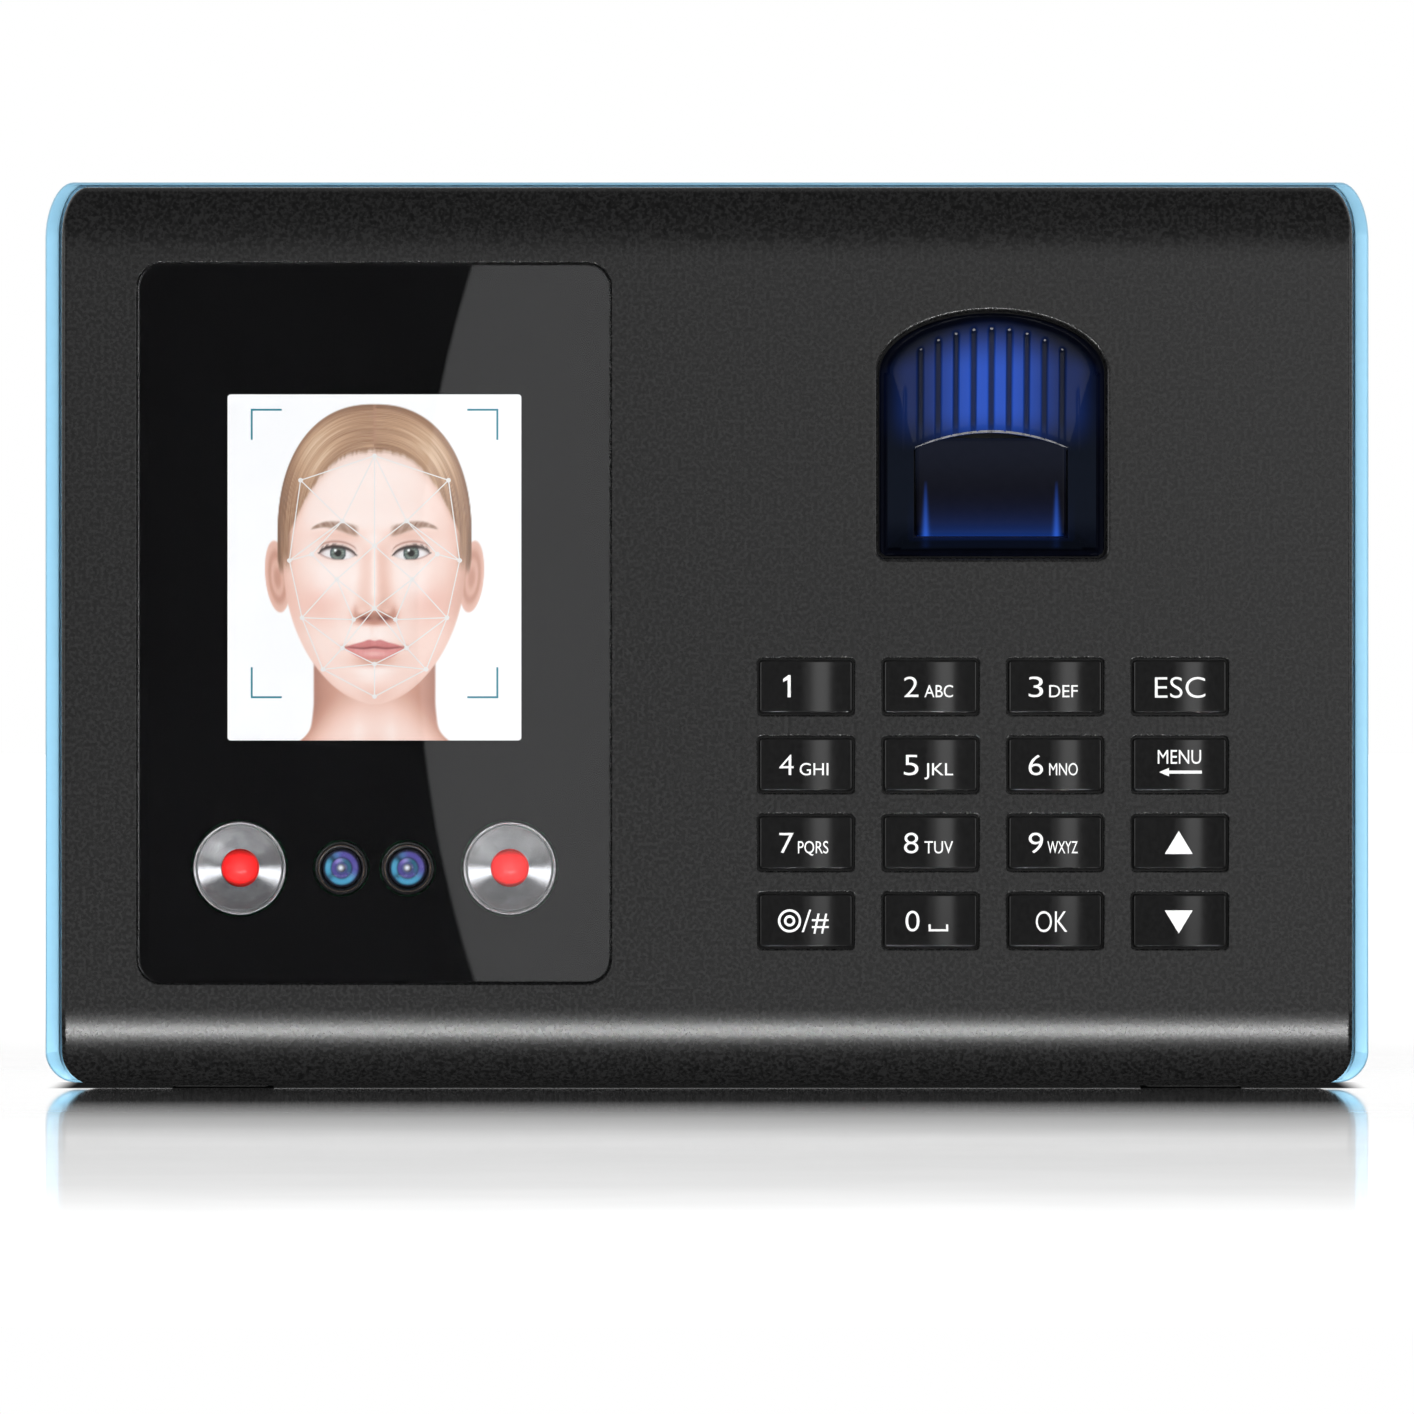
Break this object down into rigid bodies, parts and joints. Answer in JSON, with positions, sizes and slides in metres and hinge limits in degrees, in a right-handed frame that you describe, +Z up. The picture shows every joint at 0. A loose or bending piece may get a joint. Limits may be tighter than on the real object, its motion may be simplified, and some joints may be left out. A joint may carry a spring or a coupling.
{
  "type": "fingerprint scanner terminal",
  "caption": "Wall or desk time terminal with a display behind a dark window, twin cameras with lamps, a lit fingerprint recess and a keypad, in a two-part case with a band.",
  "frame": {"origin": "middle of the footprint, on the surface that the feet stand on", "axes": "+X to the right seen from the front, front faces -Y, +Z up"},
  "size_m": [0.19, 0.0354, 0.13],
  "materials": {
    "cover": "fine spark-eroded texture",
    "rear": "fine texture",
    "band": "satin, moulded in light blue",
    "window": "clear polished window",
    "black": "plain black",
    "screen": "lit display",
    "light_guide": "clear light guide",
    "steel": "nickel-plated",
    "film": "flexible circuit film",
    "lens": "coated",
    "chrome": "mirror",
    "red_lamp": "translucent red",
    "board": "solder mask on laminate",
    "guide": "satin, lit blue from inside",
    "platen": "polished prism",
    "blue_light": "lit light guide",
    "key": "satin",
    "silicone": "grey silicone",
    "zinc": "zinc-plated sheet steel",
    "rubber": "matte"
  },
  "bodies": {
    "terminal": {"front_cover": "cover", "rear_cover": "rear", "side_band": "band", "window_panel": "window", "window_mask": "black", "camera_barrel_left": "black", "camera_barrel_right": "black", "sensor_housing": "black", "dc_jack": "black", "lcd_panel": "screen", "lcd_backlight": "light_guide", "lcd_frame": "steel", "clock_battery": "steel", "usb_port": "steel", "speaker": "steel", "plate_screw": "steel", "case_screw_1": "steel", "case_screw_2": "steel", "case_screw_3": "steel", "case_screw_4": "steel", "board_screw_1": "steel", "board_screw_2": "steel", "board_screw_3": "steel", "board_screw_4": "steel", "ribbon_cable": "film", "camera_lens_left": "lens", "camera_lens_right": "lens", "reflector_left": "chrome", "reflector_right": "chrome", "led_left": "red_lamp", "led_right": "red_lamp", "camera_board": "board", "sensor_board": "board", "keypad_board": "board", "main_board": "board", "finger_guide": "guide", "finger_platen": "platen", "finger_light": "blue_light", "keypad_membrane": "silicone", "wall_plate": "zinc", "foot_1": "rubber", "foot_2": "rubber", "foot_3": "rubber", "foot_4": "rubber"},
    "key_1": {"key_1": "key"},
    "key_2": {"key_2": "key"},
    "key_3": {"key_3": "key"},
    "key_esc": {"key_esc": "key"},
    "key_4": {"key_4": "key"},
    "key_5": {"key_5": "key"},
    "key_6": {"key_6": "key"},
    "key_menu": {"key_menu": "key"},
    "key_7": {"key_7": "key"},
    "key_8": {"key_8": "key"},
    "key_9": {"key_9": "key"},
    "key_up": {"key_up": "key"},
    "key_hash": {"key_hash": "key"},
    "key_0": {"key_0": "key"},
    "key_ok": {"key_ok": "key"},
    "key_down": {"key_down": "key"}
  },
  "joints": [
    {"name": "key_1_press", "type": "slide", "parent": "terminal", "child": "key_1", "axis": [0, 1, 0], "range_m": [0, 0.001], "stiffness_N_per_m": 1500, "springref_m": -0.0005, "deforming": ["keypad_membrane"]},
    {"name": "key_2_press", "type": "slide", "parent": "terminal", "child": "key_2", "axis": [0, 1, 0], "range_m": [0, 0.001], "stiffness_N_per_m": 1500, "springref_m": -0.0005, "deforming": ["keypad_membrane"]},
    {"name": "key_3_press", "type": "slide", "parent": "terminal", "child": "key_3", "axis": [0, 1, 0], "range_m": [0, 0.001], "stiffness_N_per_m": 1500, "springref_m": -0.0005, "deforming": ["keypad_membrane"]},
    {"name": "key_esc_press", "type": "slide", "parent": "terminal", "child": "key_esc", "axis": [0, 1, 0], "range_m": [0, 0.001], "stiffness_N_per_m": 1500, "springref_m": -0.0005, "deforming": ["keypad_membrane"]},
    {"name": "key_4_press", "type": "slide", "parent": "terminal", "child": "key_4", "axis": [0, 1, 0], "range_m": [0, 0.001], "stiffness_N_per_m": 1500, "springref_m": -0.0005, "deforming": ["keypad_membrane"]},
    {"name": "key_5_press", "type": "slide", "parent": "terminal", "child": "key_5", "axis": [0, 1, 0], "range_m": [0, 0.001], "stiffness_N_per_m": 1500, "springref_m": -0.0005, "deforming": ["keypad_membrane"]},
    {"name": "key_6_press", "type": "slide", "parent": "terminal", "child": "key_6", "axis": [0, 1, 0], "range_m": [0, 0.001], "stiffness_N_per_m": 1500, "springref_m": -0.0005, "deforming": ["keypad_membrane"]},
    {"name": "key_menu_press", "type": "slide", "parent": "terminal", "child": "key_menu", "axis": [0, 1, 0], "range_m": [0, 0.001], "stiffness_N_per_m": 1500, "springref_m": -0.0005, "deforming": ["keypad_membrane"]},
    {"name": "key_7_press", "type": "slide", "parent": "terminal", "child": "key_7", "axis": [0, 1, 0], "range_m": [0, 0.001], "stiffness_N_per_m": 1500, "springref_m": -0.0005, "deforming": ["keypad_membrane"]},
    {"name": "key_8_press", "type": "slide", "parent": "terminal", "child": "key_8", "axis": [0, 1, 0], "range_m": [0, 0.001], "stiffness_N_per_m": 1500, "springref_m": -0.0005, "deforming": ["keypad_membrane"]},
    {"name": "key_9_press", "type": "slide", "parent": "terminal", "child": "key_9", "axis": [0, 1, 0], "range_m": [0, 0.001], "stiffness_N_per_m": 1500, "springref_m": -0.0005, "deforming": ["keypad_membrane"]},
    {"name": "key_up_press", "type": "slide", "parent": "terminal", "child": "key_up", "axis": [0, 1, 0], "range_m": [0, 0.001], "stiffness_N_per_m": 1500, "springref_m": -0.0005, "deforming": ["keypad_membrane"]},
    {"name": "key_hash_press", "type": "slide", "parent": "terminal", "child": "key_hash", "axis": [0, 1, 0], "range_m": [0, 0.001], "stiffness_N_per_m": 1500, "springref_m": -0.0005, "deforming": ["keypad_membrane"]},
    {"name": "key_0_press", "type": "slide", "parent": "terminal", "child": "key_0", "axis": [0, 1, 0], "range_m": [0, 0.001], "stiffness_N_per_m": 1500, "springref_m": -0.0005, "deforming": ["keypad_membrane"]},
    {"name": "key_ok_press", "type": "slide", "parent": "terminal", "child": "key_ok", "axis": [0, 1, 0], "range_m": [0, 0.001], "stiffness_N_per_m": 1500, "springref_m": -0.0005, "deforming": ["keypad_membrane"]},
    {"name": "key_down_press", "type": "slide", "parent": "terminal", "child": "key_down", "axis": [0, 1, 0], "range_m": [0, 0.001], "stiffness_N_per_m": 1500, "springref_m": -0.0005, "deforming": ["keypad_membrane"]}
  ]
}
